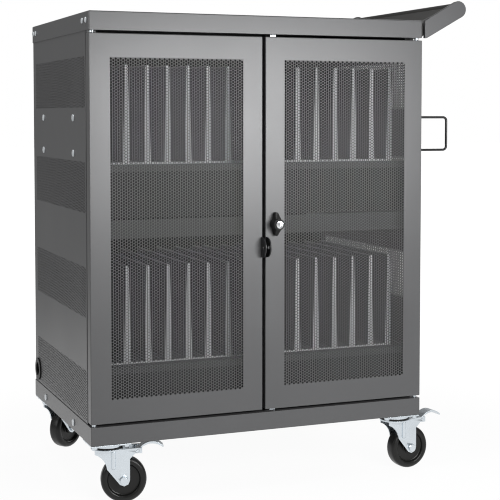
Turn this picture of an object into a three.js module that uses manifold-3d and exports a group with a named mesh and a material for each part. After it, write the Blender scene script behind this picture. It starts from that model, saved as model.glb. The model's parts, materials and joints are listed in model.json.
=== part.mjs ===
// Laptop charging cart: a steel cabinet on casters with two doors, a bar lock, upright dividers
// that hold the laptops, a push handle on the lid and wire bails for the power cord.
// Millimetres. X runs from the left side to the right, Y from the doors to the back, Z up from the floor.
import * as THREE from "three";
import { mergeVertices } from "three/addons/utils/BufferGeometryUtils.js";
import Module from "manifold-3d";

const wasm = await Module();
wasm.setup();

// Clearances
const seat = 0.3; // between pieces that are fixed to each other
const running = 0.3; // round a pin, a shaft or a sliding bar

// Cabinet
const cabinetWidth = 808;
const cabinetDepth = 558;
const sheet = 1.5; // folded steel sheet
const trayHeight = 41; // skirt of the base tray, the middle tray and the lid
const compartmentHeight = 121; // adapter space from a tray's rim to the shelf above it
const lowerBayHeight = 284;
const upperBayHeight = 291;
const flangeWidth = 24; // folded edges of the side panels
const shelfLip = 15;
const fasciaReturn = 12;
const cableSlotDepth = 34; // opening in a shelf for the charging leads
const cableSlotBackset = 30; // from the shelf's rear lip

// Doors
const doorThickness = 25;
const doorGap = 6; // above, below and behind a door
const doorMeeting = 7; // between the two doors
const doorLip = 14; // fold round the back of a door
const pivotInset = 9.5; // from the cabinet's side
const pivotSetback = 11.5; // from the doors' front
const pinRadius = 3;
const pinReach = 12; // into the door
const pinCollarRadius = 5;
const pinHeadRadius = 5;
const pinHeadHeight = 3;

// Perforated field of a door, as a plain grid of openings
const fieldInset = 46; // from the hinged edge
const fieldWidth = 308;
const fieldBottom = 103; // above the base tray's underside
const fieldHeight = 736.6;
const gridColumns = 5;
const gridRows = 10;
const gridOpen = 0.7; // share of the pitch that an opening takes

// Lock
const knobInset = 23; // from the right door's free edge
const knobHeight = 471; // above the base tray's underside
const knobHubRadius = 12.5;
const knobHubDepth = 27;
const knobWingHalfWidth = 7;
const knobWingHeight = 53;
const knobWingDepth = 22;
const knobWingChamfer = 4;
const knobShaftRadius = 5;
const plugRadius = 8.6;
const plugProud = 4; // beyond the knob's hub
const plugDepth = 14;
const camRadius = 19;
const camThickness = 3;
const camBackset = 7; // from the inside of the door's face to the cam
const driveRadius = 12; // throw of each lock bar
const drivePinRadius = 2.5;
const driveSlack = 3.2; // room above a drive pin, whose rise runs ahead of the bar's
const barWidth = 14;
const barThickness = 2;
const barEndGap = 1; // from a drawn bar to the edge that it locks behind
const barHeadHeight = 16;
const barWall = 3; // metal round a bar's slot

// Hasp
const haspHeight = 46;
const haspReach = 28;
const haspThickness = 3;
const haspEdge = 0.8; // from the door's free edge
const haspDrop = 52; // below the knob
const haspHoleRadius = 4.5;
const haspHoleReach = 15;

// Divider racks
const slotPitch = 48;
const rackCentreGap = 14;
const rackSetback = 30; // behind the fascia
const rackLength = 380;
const rackFloor = 4;
const finBaseWidth = 16;
const finTopWidth = 7.5;
const finHeight = 220;
const finWall = 2.5; // the fins are moulded hollow, open below

// Power strips
const stripEndGap = 80;
const stripDepth = 50;
const stripHeight = 42;
const stripBackset = 24;
const rockerLength = 24;
const rockerWidth = 18;
const rockerHeight = 11;
const rockerCrown = 2;
const rockerTilt = THREE.MathUtils.degToRad(8);
const rockerInset = 40; // from the strip's right end

// Push handle
const armGap = 8; // from the lid to an arm
const armThickness = 10;
const armToe = 5;
const handleDepth = 540;
const gripReach = 99; // from the cabinet's right side to the grip's centre
const gripRise = 29; // from the lid's top to the grip's centre
const armHeadRadius = 20;
const gripRadius = 16;
const rampSheet = 2;
const rampDrop = 5; // from the grip's crown to the ramp's underside
const rampFoot = 28; // flange on the lid's end

// Cord bails and cable grommet
const bailWireRadius = 3;
const bailReach = 157; // from the side panel
const bailBottom = 630; // above the base tray's underside
const bailSpan = 82;
const bailCorner = 9;
const bailPlaces = { front_cord_bail: 145, rear_cord_bail: 441 };
const grommetBack = 34; // from the cabinet's back
const grommetHeight = 74; // above the base tray's underside
const grommetFlangeRadius = 28;
const grommetBodyRadius = 23;
const grommetBoreRadius = 16;
const grommetProud = 3;
const grommetInside = 8;

// Casters
const casterInsetX = 46;
const casterInsetY = 40;
const plateLength = 90;
const plateWidth = 78;
const plateThickness = 3;
const raceRadius = 34;
const raceHeight = 10;
const kingpinRadius = 6;
const kingpinHeadRadius = 9;
const kingpinHeadHeight = 4;
const crownRadius = 36;
const forkSheet = 3;
const wheelCrownGap = 17.4; // from the fork's crown to the tread
const wheelRadius = 51;
const wheelWidth = 32;
const wheelEdge = 5;
const wheelWebWidth = 18;
const wheelRimInner = 36;
const hubRadius = 15;
const hubProud = 1; // beyond the tread on each side
const axleRadius = 6;
const axleHeadRadius = 9;
const axleHeadHeight = 5;
const casterTrail = 36;
const forkNose = 28; // ahead of the kingpin
const forkTail = 76; // behind the kingpin
const forkCrownTail = 48;
const forkCheek = 12; // depth of the fork's folded edge
const forkEye = 13; // metal round the axle
const pedalPivotInset = 9; // from the fork's tail
const pedalLength = 56;
const pedalWidth = 28;
const pedalThickness = 3;
const pedalHump = 13;
const pedalTipRise = 5;
const pedalBossRadius = 5;
const pedalPinRadius = 3;

// Fineness of round shapes
const pinSides = 16;
const ringSides = 24;
const wheelSides = 32; // a multiple of four, so that a flat facet meets the floor
const wireSides = 8;
const wireSteps = 30;
const arcSteps = 10;
const finArcSteps = 4;

// Heights and depths that follow from the sizes above
const casterHeight = seat + plateThickness + raceHeight + seat + forkSheet + wheelCrownGap + 2 * wheelRadius;
const baseBottom = casterHeight;
const baseTop = baseBottom + trayHeight;
const lowerShelfTop = baseTop + compartmentHeight;
const middleBottom = lowerShelfTop + lowerBayHeight;
const middleTop = middleBottom + trayHeight;
const upperShelfTop = middleTop + compartmentHeight;
const lidBottom = upperShelfTop + upperBayHeight;
const lidTop = lidBottom + trayHeight;
const panelOuter = sheet + seat;
const panelInner = panelOuter + sheet;
const panelFront = doorThickness + doorGap;
const backInner = cabinetDepth - 2 * sheet - seat;
const panelBack = backInner - seat;
const trayLeft = panelInner + seat;
const trayRight = cabinetWidth - trayLeft;
const trayFront = panelFront + sheet + seat;
const trayBack = panelBack - sheet - seat;
const doorBottom = baseTop + doorGap;
const doorTop = lidBottom - doorGap;
const doorWidth = (cabinetWidth - doorMeeting) / 2;
const rightDoorLeft = cabinetWidth - doorWidth;
const knobX = rightDoorLeft + knobInset;
const knobZ = baseBottom + knobHeight;

// Materials
const powderCoat = new THREE.MeshStandardMaterial({ color: 0x5a5b5e, roughness: 0.55, metalness: 0.2 });
const darkCoat = new THREE.MeshStandardMaterial({ color: 0x3c3b3a, roughness: 0.6, metalness: 0.1 });
const blackPlastic = new THREE.MeshStandardMaterial({ color: 0x17171a, roughness: 0.45, metalness: 0 });
const blackRubber = new THREE.MeshStandardMaterial({ color: 0x232323, roughness: 0.7, metalness: 0 });
const palePlastic = new THREE.MeshStandardMaterial({ color: 0xb9bbbc, roughness: 0.6, metalness: 0 });
const zincSteel = new THREE.MeshStandardMaterial({ color: 0xc6ccd0, roughness: 0.3, metalness: 0.9 });
const chrome = new THREE.MeshStandardMaterial({ color: 0xe4e6e8, roughness: 0.12, metalness: 1 });

// Closed mesh of a three.js geometry as a solid that can be joined and cut
function solid(geometry) {
  geometry.deleteAttribute("normal");
  geometry.deleteAttribute("uv");
  const merged = mergeVertices(geometry);
  const corners = merged.index.array;
  const kept = [];
  for (let i = 0; i < corners.length; i += 3) {
    const [a, b, c] = [corners[i], corners[i + 1], corners[i + 2]];
    if (a !== b && b !== c && c !== a) kept.push(a, b, c);
  }
  const vertProperties = merged.attributes.position.array;
  return new wasm.Manifold(new wasm.Mesh({ numProp: 3, vertProperties, triVerts: new Uint32Array(kept) }));
}

// Box between two values on each axis
function block(x0, x1, y0, y1, z0, z1) {
  const geometry = new THREE.BoxGeometry(x1 - x0, y1 - y0, z1 - z0);
  return solid(geometry.translate((x0 + x1) / 2, (y0 + y1) / 2, (z0 + z1) / 2));
}

// Directions of an extrusion: the outline's two axes, then the way it is pulled
const along = {
  x: new THREE.Matrix4().makeBasis(axis(0, 1, 0), axis(0, 0, 1), axis(1, 0, 0)),
  y: new THREE.Matrix4().makeBasis(axis(0, 0, 1), axis(1, 0, 0), axis(0, 1, 0)),
  z: new THREE.Matrix4().identity(),
};

function axis(x, y, z) {
  return new THREE.Vector3(x, y, z);
}

// Outline pulled along an axis. Its points are (y, z) along x, (z, x) along y and (x, y) along z.
function pulled(outline, direction, from, to, curveSegments = arcSteps) {
  const corners = Array.isArray(outline) && outline.map(([u, v]) => new THREE.Vector2(u, v));
  const shape = corners ? new THREE.Shape(corners) : outline;
  const settings = { depth: to - from, bevelEnabled: false, curveSegments };
  const geometry = new THREE.ExtrudeGeometry(shape, settings).translate(0, 0, from);
  return solid(geometry.applyMatrix4(along[direction]));
}

// Round solid about an axis through a point, from a profile of (radius, place along the axis)
function turned(profile, direction, centre, sides) {
  const points = profile.map(([radius, place]) => new THREE.Vector2(radius, place));
  const geometry = new THREE.LatheGeometry(points, sides, Math.PI / sides);
  geometry.rotateX(Math.PI / 2);
  geometry.applyMatrix4(along[direction]);
  return solid(geometry.translate(...centre));
}

function cylinder(radius, direction, centre, from, to, sides = pinSides) {
  return turned([[0, from], [radius, from], [radius, to], [0, to]], direction, centre, sides);
}

// Solid as a named piece of the cart
function piece(name, body, material, parent) {
  const made = body.getMesh();
  const geometry = new THREE.BufferGeometry();
  geometry.setAttribute("position", new THREE.BufferAttribute(made.vertProperties, 3));
  geometry.setIndex(new THREE.BufferAttribute(made.triVerts, 1));
  geometry.computeVertexNormals();
  const mesh = new THREE.Mesh(geometry, material);
  mesh.name = name;
  parent.add(mesh);
}

// Box with sheet walls, open above or below
function openPan(x0, x1, y0, y1, z0, z1, openAbove) {
  const floor = openAbove ? z0 + sheet : z0 - sheet;
  const rim = openAbove ? z1 + sheet : z1 - sheet;
  const hollow = block(x0 + sheet, x1 - sheet, y0 + sheet, y1 - sheet, floor, rim);
  return block(x0, x1, y0, y1, z0, z1).subtract(hollow);
}

const cart = new THREE.Group();

// Ledge behind a skirt that carries the door pivots and that a lock bar enters
function pivotLedge(bottom, barY) {
  const middle = bottom + sheet / 2;
  let ledge = block(0, cabinetWidth, 0, panelFront - seat, bottom, bottom + sheet);
  for (const x of [pivotInset, cabinetWidth - pivotInset])
    ledge = ledge.subtract(cylinder(pinRadius + running, "z", [x, pivotSetback, middle], -sheet, sheet));
  return ledge.subtract(barSlot(barY, middle));
}

// Slot that a lock bar passes through, at a height on the line of the knob
function barSlot(barY, middle) {
  const half = barWidth / 2 + running;
  const front = barY - running;
  const back = barY + barThickness + running;
  return block(knobX - half, knobX + half, front, back, middle - sheet, middle + sheet);
}

// Lock geometry shared by the door, the ledges and the bars
const camFront = sheet + camBackset;
const camBack = camFront + camThickness;
const upperBarFront = camBack + running;
const lowerBarFront = upperBarFront + barThickness + running;

// Trays, lid, panels
const baseTray = openPan(0, cabinetWidth, 0, cabinetDepth, baseBottom, baseTop, true);
piece("base_tray", baseTray.add(pivotLedge(baseTop - sheet, lowerBarFront)), powderCoat, cart);
const lid = openPan(0, cabinetWidth, 0, cabinetDepth, lidBottom, lidTop, false);
piece("lid", lid.add(pivotLedge(lidBottom, upperBarFront)), powderCoat, cart);
const middleTray = openPan(trayLeft, trayRight, trayFront, trayBack, middleBottom, middleTop, true);
piece("middle_tray", middleTray, powderCoat, cart);

const panelBottom = baseBottom + sheet + seat;
const panelTop = lidTop - sheet - seat;

function sidePanel(place) {
  const outline = [
    [panelOuter, panelFront],
    [panelOuter + flangeWidth, panelFront],
    [panelOuter + flangeWidth, panelFront + sheet],
    [panelInner, panelFront + sheet],
    [panelInner, panelBack - sheet],
    [panelOuter + flangeWidth, panelBack - sheet],
    [panelOuter + flangeWidth, panelBack],
    [panelOuter, panelBack],
  ];
  return pulled(outline.map(([x, y]) => [place(x), y]), "z", panelBottom, panelTop);
}

const grommetCentre = [panelOuter, cabinetDepth - grommetBack, baseBottom + grommetHeight];
const grommetHole = cylinder(grommetBodyRadius + seat, "x", grommetCentre, -sheet, 2 * sheet, ringSides);
piece("left_side_panel", sidePanel((x) => x).subtract(grommetHole), powderCoat, cart);
piece("right_side_panel", sidePanel((x) => cabinetWidth - x), powderCoat, cart);
const backPanel = block(panelOuter, cabinetWidth - panelOuter, backInner, backInner + sheet, panelBottom, panelTop);
piece("back_panel", backPanel, powderCoat, cart);

const grommetProfile = [
  [grommetBoreRadius, -seat - grommetProud],
  [grommetFlangeRadius, -seat - grommetProud],
  [grommetFlangeRadius, -seat],
  [grommetBodyRadius, -seat],
  [grommetBodyRadius, sheet + grommetInside],
  [grommetBoreRadius, sheet + grommetInside],
  [grommetBoreRadius, -seat - grommetProud],
];
piece("cable_grommet", turned(grommetProfile, "x", grommetCentre, ringSides), blackPlastic, cart);

// Racks on one shelf: the slots that fit in each half of the cabinet
const halfRoom = cabinetWidth / 2 - rackCentreGap / 2 - trayLeft;
const slotCount = Math.floor((halfRoom - finBaseWidth) / slotPitch);
const rackWidth = slotCount * slotPitch + finBaseWidth;
const rackFront = trayFront + rackSetback;
const rackStarts = {
  left: cabinetWidth / 2 - rackCentreGap / 2 - rackWidth,
  right: cabinetWidth / 2 + rackCentreGap / 2,
};

// Tapered fin with a round top, drawn in by a wall thickness for its hollow
function finOutline(centre, bottom, drawnIn) {
  const topRadius = finTopWidth / 2 - drawnIn;
  const baseHalf = finBaseWidth / 2 - drawnIn;
  const shoulder = bottom + finHeight - finTopWidth / 2;
  const shape = new THREE.Shape();
  shape.moveTo(bottom, centre - baseHalf);
  shape.lineTo(shoulder, centre - topRadius);
  shape.absarc(shoulder, centre, topRadius, -Math.PI / 2, Math.PI / 2, false);
  shape.lineTo(bottom, centre + baseHalf);
  return shape;
}

function rack(start, shelfTop) {
  const bottom = shelfTop + seat;
  const rackBack = rackFront + rackLength;
  const centres = Array.from({ length: slotCount + 1 }, (_, i) => start + finBaseWidth / 2 + i * slotPitch);
  let body = block(start, start + rackWidth, rackFront, rackBack, bottom, bottom + rackFloor);
  for (const centre of centres)
    body = body.add(pulled(finOutline(centre, bottom, 0), "y", rackFront, rackBack, finArcSteps));
  for (const centre of centres) {
    const hollow = finOutline(centre, bottom, finWall);
    body = body.subtract(pulled(hollow, "y", rackFront + finWall, rackBack - finWall, finArcSteps));
  }
  return body;
}

// Shelf with folded lips all round and an opening behind each rack for the charging leads
function shelf(top) {
  let body = openPan(trayLeft, trayRight, trayFront, trayBack, top - shelfLip, top, false);
  const slotBack = trayBack - cableSlotBackset;
  for (const start of Object.values(rackStarts))
    body = body.subtract(
      block(start, start + rackWidth, slotBack - cableSlotDepth, slotBack, top - 2 * sheet, top + sheet),
    );
  return body;
}

// Cover of an adapter compartment, a channel between a tray and the shelf above it
function fascia(floor, shelfTop) {
  const front = trayFront + sheet + seat;
  const bottom = floor + sheet + seat;
  const top = shelfTop - sheet - seat;
  const outline = [
    [front, bottom],
    [front + fasciaReturn, bottom],
    [front + fasciaReturn, bottom + sheet],
    [front + sheet, bottom + sheet],
    [front + sheet, top - sheet],
    [front + fasciaReturn, top - sheet],
    [front + fasciaReturn, top],
    [front, top],
  ];
  const inset = trayLeft + sheet + seat;
  return pulled(outline, "x", inset, cabinetWidth - inset);
}

// Power strip on a tray's floor, with a pocket for its rocker switch
const stripLeft = trayLeft + stripEndGap;
const stripRight = trayRight - stripEndGap;
const stripBack = trayBack - sheet - stripBackset;
const stripMiddle = stripBack - stripDepth / 2;
const rockerX = stripRight - rockerInset;
const rockerSweep = Math.hypot(rockerLength / 2, rockerHeight / 2) + running;

function powerStrip(floor) {
  const bottom = floor + sheet + seat;
  const top = bottom + stripHeight;
  const halfWidth = rockerWidth / 2 + running;
  const pocket = block(
    rockerX - rockerSweep,
    rockerX + rockerSweep,
    stripMiddle - halfWidth,
    stripMiddle + halfWidth,
    top - rockerSweep,
    top + sheet,
  );
  return block(stripLeft, stripRight, stripBack - stripDepth, stripBack, bottom, top).subtract(pocket);
}

function rocker() {
  const half = rockerLength / 2;
  const outline = [
    [-rockerHeight / 2, -half],
    [rockerHeight / 2, -half],
    [rockerHeight / 2 - rockerCrown, 0],
    [rockerHeight / 2, half],
    [-rockerHeight / 2, half],
  ];
  return pulled(outline, "y", -rockerWidth / 2, rockerWidth / 2);
}

const levels = {
  lower: { floor: baseBottom, shelfTop: lowerShelfTop },
  upper: { floor: middleBottom, shelfTop: upperShelfTop },
};
for (const [level, { floor, shelfTop }] of Object.entries(levels)) {
  piece(`${level}_fascia`, fascia(floor, shelfTop), powderCoat, cart);
  piece(`${level}_shelf`, shelf(shelfTop), powderCoat, cart);
  for (const [half, start] of Object.entries(rackStarts))
    piece(`${level}_${half}_rack`, rack(start, shelfTop), palePlastic, cart);
  piece(`${level}_power_strip`, powerStrip(floor), blackPlastic, cart);
  const rockerPlace = new THREE.Group();
  rockerPlace.position.set(rockerX, stripMiddle, floor + sheet + seat + stripHeight);
  rockerPlace.rotation.y = -rockerTilt;
  piece(`${level}_strip_switch`, rocker(), blackPlastic, rockerPlace);
  cart.add(rockerPlace);
}

// Openings of a door's field, which starts at a given x
function fieldOpenings(fieldLeft) {
  const pitchX = fieldWidth / gridColumns;
  const pitchZ = fieldHeight / gridRows;
  const halfX = (pitchX * gridOpen) / 2;
  const halfZ = (pitchZ * gridOpen) / 2;
  const openings = [];
  for (let column = 0; column < gridColumns; column += 1)
    for (let row = 0; row < gridRows; row += 1) {
      const x = fieldLeft + (column + 0.5) * pitchX;
      const z = baseBottom + fieldBottom + (row + 0.5) * pitchZ;
      openings.push(block(x - halfX, x + halfX, -sheet, 2 * sheet, z - halfZ, z + halfZ));
    }
  return openings;
}

// Door: a folded pan with a lip round its open back, a pivot hole above and below and a field of openings
function door(left, pivotX, fieldLeft) {
  const right = left + doorWidth;
  const lipInner = sheet + doorLip;
  let body = block(left, right, 0, doorThickness, doorBottom, doorTop);
  body = body.subtract(
    block(left + sheet, right - sheet, sheet, doorThickness - sheet, doorBottom + sheet, doorTop - sheet),
  );
  body = body.subtract(
    block(
      left + lipInner,
      right - lipInner,
      doorThickness - 2 * sheet,
      doorThickness + sheet,
      doorBottom + lipInner,
      doorTop - lipInner,
    ),
  );
  for (const z of [doorBottom, doorTop])
    body = body.subtract(
      cylinder(pinRadius + running, "z", [pivotX, pivotSetback, z], -2 * sheet, 2 * sheet),
    );
  for (const opening of fieldOpenings(fieldLeft)) body = body.subtract(opening);
  return body;
}

const knobCentre = [knobX, 0, knobZ];
const shaftHole = cylinder(knobShaftRadius + running, "y", knobCentre, -sheet, 2 * sheet);
const rightDoor = door(rightDoorLeft, cabinetWidth - pivotInset, cabinetWidth - fieldInset - fieldWidth)
  .subtract(shaftHole)
  .subtract(barSlot(upperBarFront, doorTop - sheet / 2))
  .subtract(barSlot(lowerBarFront, doorBottom + sheet / 2));
piece("left_door", door(0, pivotInset, fieldInset), powderCoat, cart);
piece("right_door", rightDoor, powderCoat, cart);

// Hinge pin: it hangs from a ledge by its head, and its collar keeps the door off the ledge
function hingePin() {
  const collarStart = running;
  const collarEnd = doorGap - seat;
  const headStart = doorGap + sheet + seat;
  return [
    [0, -pinReach],
    [pinRadius, -pinReach],
    [pinRadius, collarStart],
    [pinCollarRadius, collarStart],
    [pinCollarRadius, collarEnd],
    [pinRadius, collarEnd],
    [pinRadius, headStart],
    [pinHeadRadius, headStart],
    [pinHeadRadius, headStart + pinHeadHeight],
    [0, headStart + pinHeadHeight],
  ];
}

const upperPin = hingePin();
const lowerPin = hingePin().map(([radius, place]) => [radius, -place]).reverse();
for (const [side, x] of Object.entries({ left: pivotInset, right: cabinetWidth - pivotInset })) {
  piece(`upper_${side}_hinge_pin`, turned(upperPin, "z", [x, pivotSetback, doorTop], pinSides), zincSteel, cart);
  piece(`lower_${side}_hinge_pin`, turned(lowerPin, "z", [x, pivotSetback, doorBottom], pinSides), zincSteel, cart);
}

// Lock knob with its shaft, the key plug in its hub and the cam on its shaft
const wingHalf = knobWingHeight / 2;
const wingOutline = [];
for (const [turnZ, turnX] of [[-1, -1], [-1, 1], [1, 1], [1, -1]]) {
  const inZ = [turnZ * wingHalf, turnX * (knobWingHalfWidth - knobWingChamfer)];
  const inX = [turnZ * (wingHalf - knobWingChamfer), turnX * knobWingHalfWidth];
  wingOutline.push(...(turnZ * turnX > 0 ? [inX, inZ] : [inZ, inX]));
}
const wing = pulled(wingOutline, "y", -knobWingDepth, -seat).translate(knobCentre);
const plugBack = -knobHubDepth - plugProud + plugDepth;
const knob = cylinder(knobHubRadius, "y", knobCentre, -knobHubDepth, -seat, ringSides)
  .add(wing)
  .add(cylinder(knobShaftRadius, "y", knobCentre, -2 * seat, camFront - seat))
  .subtract(cylinder(plugRadius + running, "y", knobCentre, -knobHubDepth - plugProud, plugBack + running, ringSides));
piece("lock_knob", knob, blackPlastic, cart);
const plug = cylinder(plugRadius, "y", knobCentre, -knobHubDepth - plugProud, plugBack, ringSides);
piece("key_plug", plug, chrome, cart);
let cam = cylinder(camRadius, "y", knobCentre, camFront, camBack, ringSides);
const drivePins = { 1: upperBarFront + barThickness, [-1]: lowerBarFront + barThickness };
for (const [way, end] of Object.entries(drivePins)) {
  const pinCentre = [knobX + way * driveRadius, 0, knobZ];
  cam = cam.add(cylinder(drivePinRadius, "y", pinCentre, camFront + seat, end));
}
piece("lock_cam", cam, zincSteel, cart);

// Lock bar: a flat strip whose slotted head sits over one drive pin of the cam
function lockBar(way, front) {
  const slotInner = drivePinRadius + running;
  const headReach = driveRadius + slotInner + barWall;
  const headInner = -slotInner - barWall;
  const headLow = -barHeadHeight / 2;
  const headHigh = barHeadHeight / 2 + driveSlack;
  const end = way > 0 ? lidBottom - barEndGap - knobZ : knobZ - baseTop - barEndGap;
  const mirrored = ([z, x]) => new THREE.Vector2(way * z, way * x);
  const outline = [
    [headLow, headInner],
    [headLow, headReach],
    [headHigh, headReach],
    [headHigh, barWidth / 2],
    [end, barWidth / 2],
    [end, -barWidth / 2],
    [headHigh, -barWidth / 2],
    [headHigh, headInner],
  ];
  const slot = [
    [-slotInner, -slotInner],
    [slotInner + driveSlack, -slotInner],
    [slotInner + driveSlack, headReach - barWall],
    [-slotInner, headReach - barWall],
  ];
  const shape = new THREE.Shape(outline.map(mirrored));
  shape.holes.push(new THREE.Path(slot.map(mirrored)));
  return pulled(shape, "y", front, front + barThickness).translate(knobCentre);
}

piece("upper_lock_bar", lockBar(1, upperBarFront), zincSteel, cart);
piece("lower_lock_bar", lockBar(-1, lowerBarFront), zincSteel, cart);

// Hasp tab: a half-round plate with a padlock hole, standing on a door's free edge
function haspTab(left) {
  const shape = new THREE.Shape();
  const radius = haspHeight / 2;
  const straight = Math.max(haspReach - radius, 0);
  shape.moveTo(-seat, -radius);
  shape.lineTo(-seat, radius);
  shape.lineTo(-straight, radius);
  shape.absellipse(-straight, 0, haspReach - straight, radius, Math.PI / 2, (3 * Math.PI) / 2, false);
  const hole = new THREE.Path();
  hole.absarc(-haspHoleReach, 0, haspHoleRadius, 0, 2 * Math.PI, true);
  shape.holes.push(hole);
  return pulled(shape, "x", left, left + haspThickness).translate([0, 0, knobZ - haspDrop]);
}

piece("left_hasp", haspTab(doorWidth - haspEdge - haspThickness), blackPlastic, cart);
piece("right_hasp", haspTab(rightDoorLeft + haspEdge), blackPlastic, cart);

// Push handle: two arms, the grip between their heads, and the ramp from the lid up to the grip
const grip = new THREE.Vector2(cabinetWidth + gripReach, lidTop + gripRise);
const armLeft = cabinetWidth + armGap;

// Direction of the line from a point that touches the arm's round head on its upper or lower side
function touchAngle(from, side) {
  const toGrip = grip.clone().sub(from);
  return toGrip.angle() + side * Math.asin(armHeadRadius / toGrip.length());
}

const armTopCorner = new THREE.Vector2(armLeft, lidTop);
const armLowCorner = new THREE.Vector2(armLeft + armToe, lidBottom);
const upperSlope = touchAngle(armTopCorner, 1);
const lowerSlope = touchAngle(armLowCorner, -1);

function armOutline() {
  const shape = new THREE.Shape();
  shape.moveTo(lidBottom, armLeft);
  shape.lineTo(lidTop, armLeft);
  const ends = [upperSlope + Math.PI / 2, lowerSlope - Math.PI / 2];
  for (let i = 0; i <= arcSteps; i += 1) {
    const angle = THREE.MathUtils.lerp(ends[0], ends[1], i / arcSteps);
    const onHead = [grip.y + armHeadRadius * Math.sin(angle), grip.x + armHeadRadius * Math.cos(angle)];
    shape.lineTo(...onHead);
  }
  shape.lineTo(lidBottom, armLeft + armToe);
  return shape;
}

const slopeWay = new THREE.Vector2(Math.cos(upperSlope), Math.sin(upperSlope));
const slopeUp = new THREE.Vector2(-slopeWay.y, slopeWay.x);

// Point on the ramp's slope at a height above the grip's centre, at a given x
function onSlope(height, x) {
  const crown = grip.clone().addScaledVector(slopeUp, height);
  return [crown.y + ((x - crown.x) * slopeWay.y) / slopeWay.x, x];
}

const rampUnder = gripRadius - rampDrop;
const rampOver = rampUnder + rampSheet;
const footLeft = cabinetWidth + seat;
const footRight = footLeft + rampSheet;
const rampShoulder = onSlope(rampOver, footLeft);
const footEnd = rampShoulder[0] - rampFoot;

function rampOutline() {
  const stop = Math.sqrt((gripRadius + seat) ** 2 - rampUnder ** 2);
  const lipEnd = grip.clone().addScaledVector(slopeWay, -stop);
  const upperEnd = lipEnd.clone().addScaledVector(slopeUp, rampOver);
  const lowerEnd = lipEnd.clone().addScaledVector(slopeUp, rampUnder);
  return [
    rampShoulder,
    [upperEnd.y, upperEnd.x],
    [lowerEnd.y, lowerEnd.x],
    onSlope(rampUnder, footRight),
    [footEnd, footRight],
    [footEnd, footLeft],
  ];
}

// Wall folded down from each end of the ramp, beside the arm
function rampWallOutline() {
  const wallEnd = grip.x - gripRadius - 2 * rampSheet;
  const inSheet = rampUnder + rampSheet / 2;
  return [onSlope(inSheet, footRight), onSlope(inSheet, wallEnd), [footEnd, footRight]];
}

const betweenArms = [armThickness + seat, handleDepth - armThickness - seat];
piece("handle_front_arm", pulled(armOutline(), "y", 0, armThickness), powderCoat, cart);
piece("handle_rear_arm", pulled(armOutline(), "y", handleDepth - armThickness, handleDepth), powderCoat, cart);
const [rampFront, rampBack] = betweenArms;
const ramp = pulled(rampOutline(), "y", rampFront, rampBack)
  .add(pulled(rampWallOutline(), "y", rampFront, rampFront + rampSheet))
  .add(pulled(rampWallOutline(), "y", rampBack - rampSheet, rampBack));
piece("handle_ramp", ramp, darkCoat, cart);
piece("handle_grip", cylinder(gripRadius, "y", [grip.x, 0, grip.y], ...betweenArms, ringSides), darkCoat, cart);

// Cord bail: wire bent into a square loop whose two ends stand on the right side panel
function cordBail(y) {
  const root = cabinetWidth - panelOuter + seat;
  const tip = root + bailReach - bailWireRadius;
  const low = baseBottom + bailBottom;
  const high = low + bailSpan;
  const at = (x, z) => axis(x, y, z);
  const path = new THREE.CurvePath();
  path.add(new THREE.LineCurve3(at(root, low), at(tip - bailCorner, low)));
  path.add(new THREE.QuadraticBezierCurve3(at(tip - bailCorner, low), at(tip, low), at(tip, low + bailCorner)));
  path.add(new THREE.LineCurve3(at(tip, low + bailCorner), at(tip, high - bailCorner)));
  path.add(new THREE.QuadraticBezierCurve3(at(tip, high - bailCorner), at(tip, high), at(tip - bailCorner, high)));
  path.add(new THREE.LineCurve3(at(tip - bailCorner, high), at(root, high)));
  const section = new THREE.Shape();
  for (let i = 0; i < wireSides; i += 1) {
    const angle = (2 * Math.PI * (i + 0.5)) / wireSides;
    const corner = [bailWireRadius * Math.cos(angle), bailWireRadius * Math.sin(angle)];
    if (i === 0) section.moveTo(...corner);
    else section.lineTo(...corner);
  }
  return solid(new THREE.ExtrudeGeometry(section, { steps: wireSteps, extrudePath: path }));
}

for (const [name, y] of Object.entries(bailPlaces)) piece(name, cordBail(y), blackPlastic, cart);

// Casters, each made about its own kingpin with the wheel trailing along +X
const hubHalf = wheelWidth / 2 + hubProud;
const legInner = hubHalf + running;
const legOuter = legInner + forkSheet;
const raceBottom = casterHeight - seat - plateThickness - raceHeight;
const crownTop = raceBottom - seat;
const crownBottom = crownTop - forkSheet;
const pedalX = forkTail - pedalPivotInset;
const pedalZ = crownTop - forkCheek / 2;
const onKingpin = [0, 0, 0];
const onAxle = [casterTrail, 0, wheelRadius];
const onPedalPin = [pedalX, 0, pedalZ];

function casterPlate() {
  const plateBottom = raceBottom + raceHeight;
  const headTop = crownBottom - seat;
  const plate = block(
    -plateLength / 2,
    plateLength / 2,
    -plateWidth / 2,
    plateWidth / 2,
    plateBottom,
    plateBottom + plateThickness,
  );
  return plate
    .add(cylinder(raceRadius, "z", onKingpin, raceBottom, plateBottom + seat, ringSides))
    .add(cylinder(kingpinRadius, "z", onKingpin, headTop - seat, raceBottom + seat))
    .add(cylinder(kingpinHeadRadius, "z", onKingpin, headTop - kingpinHeadHeight, headTop));
}

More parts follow.
